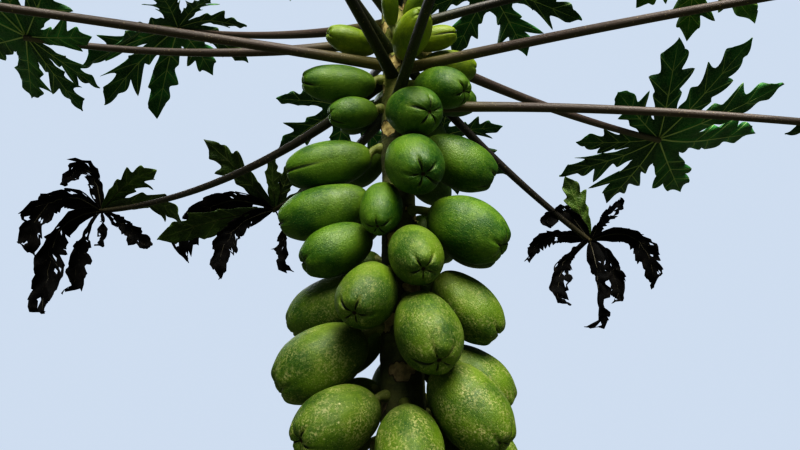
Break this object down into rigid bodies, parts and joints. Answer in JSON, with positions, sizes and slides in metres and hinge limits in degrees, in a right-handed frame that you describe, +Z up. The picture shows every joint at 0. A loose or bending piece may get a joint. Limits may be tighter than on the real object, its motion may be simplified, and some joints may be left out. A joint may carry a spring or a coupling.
{
  "type": "fruiting papaya tree",
  "caption": "Fruiting papaya tree: a leaning unbranched trunk ringed with green fruit under a crown of long-stalked, deeply lobed leaves, the lowest ones withered.",
  "frame": {"origin": "centre of the flat cut under the trunk, at ground level", "axes": "+Z up, along the tree's height; -Y is the side that the picture shows; +X to that view's right"},
  "size_m": [2.572, 2.2216, 3.3248],
  "materials": {
    "trunk_bark": "matt, ringed with leaf scars",
    "fruit_skin": "waxy green skin, speckled on the old fruit",
    "fruit_young": "waxy yellow-green skin",
    "leaf_green": "satin green blade on a purplish petiole",
    "leaf_withered": "dry, almost black"
  },
  "bodies": {
    "root": {"trunk": "trunk_bark", "fruit_01": "fruit_young", "fruit_02": "fruit_young", "fruit_03": "fruit_young", "fruit_04": "fruit_skin", "fruit_05": "fruit_skin", "fruit_06": "fruit_skin", "fruit_07": "fruit_skin", "fruit_08": "fruit_skin", "fruit_09": "fruit_skin", "fruit_10": "fruit_skin", "fruit_11": "fruit_skin", "fruit_12": "fruit_skin", "fruit_13": "fruit_skin", "fruit_14": "fruit_skin", "fruit_15": "fruit_skin", "fruit_16": "fruit_skin", "fruit_17": "fruit_skin", "fruit_18": "fruit_skin", "fruit_19": "fruit_skin", "fruit_20": "fruit_skin", "fruit_21": "fruit_skin", "fruit_22": "fruit_skin", "fruit_23": "fruit_skin", "fruit_24": "fruit_skin", "fruit_25": "fruit_skin", "fruit_26": "fruit_skin", "fruit_27": "fruit_skin", "fruit_28": "fruit_skin", "fruit_29": "fruit_skin", "fruit_30": "fruit_skin", "fruit_31": "fruit_skin", "fruit_32": "fruit_skin", "fruit_33": "fruit_skin", "fruit_34": "fruit_skin", "fruit_35": "fruit_skin", "fruit_36": "fruit_skin", "leaf_01": "leaf_withered", "leaf_02": "leaf_green", "leaf_03": "leaf_withered", "leaf_04": "leaf_green", "leaf_05": "leaf_withered", "leaf_06": "leaf_green", "leaf_07": "leaf_green", "leaf_08": "leaf_green", "leaf_09": "leaf_green", "leaf_10": "leaf_green", "leaf_11": "leaf_green", "leaf_12": "leaf_green", "leaf_13": "leaf_green", "leaf_14": "leaf_green", "leaf_15": "leaf_green", "leaf_16": "leaf_green", "leaf_17": "leaf_green", "leaf_18": "leaf_green", "leaf_19": "leaf_green", "leaf_20": "leaf_green", "leaf_21": "leaf_green", "leaf_22": "leaf_green", "leaf_23": "leaf_green"}
  },
  "joints": []
}
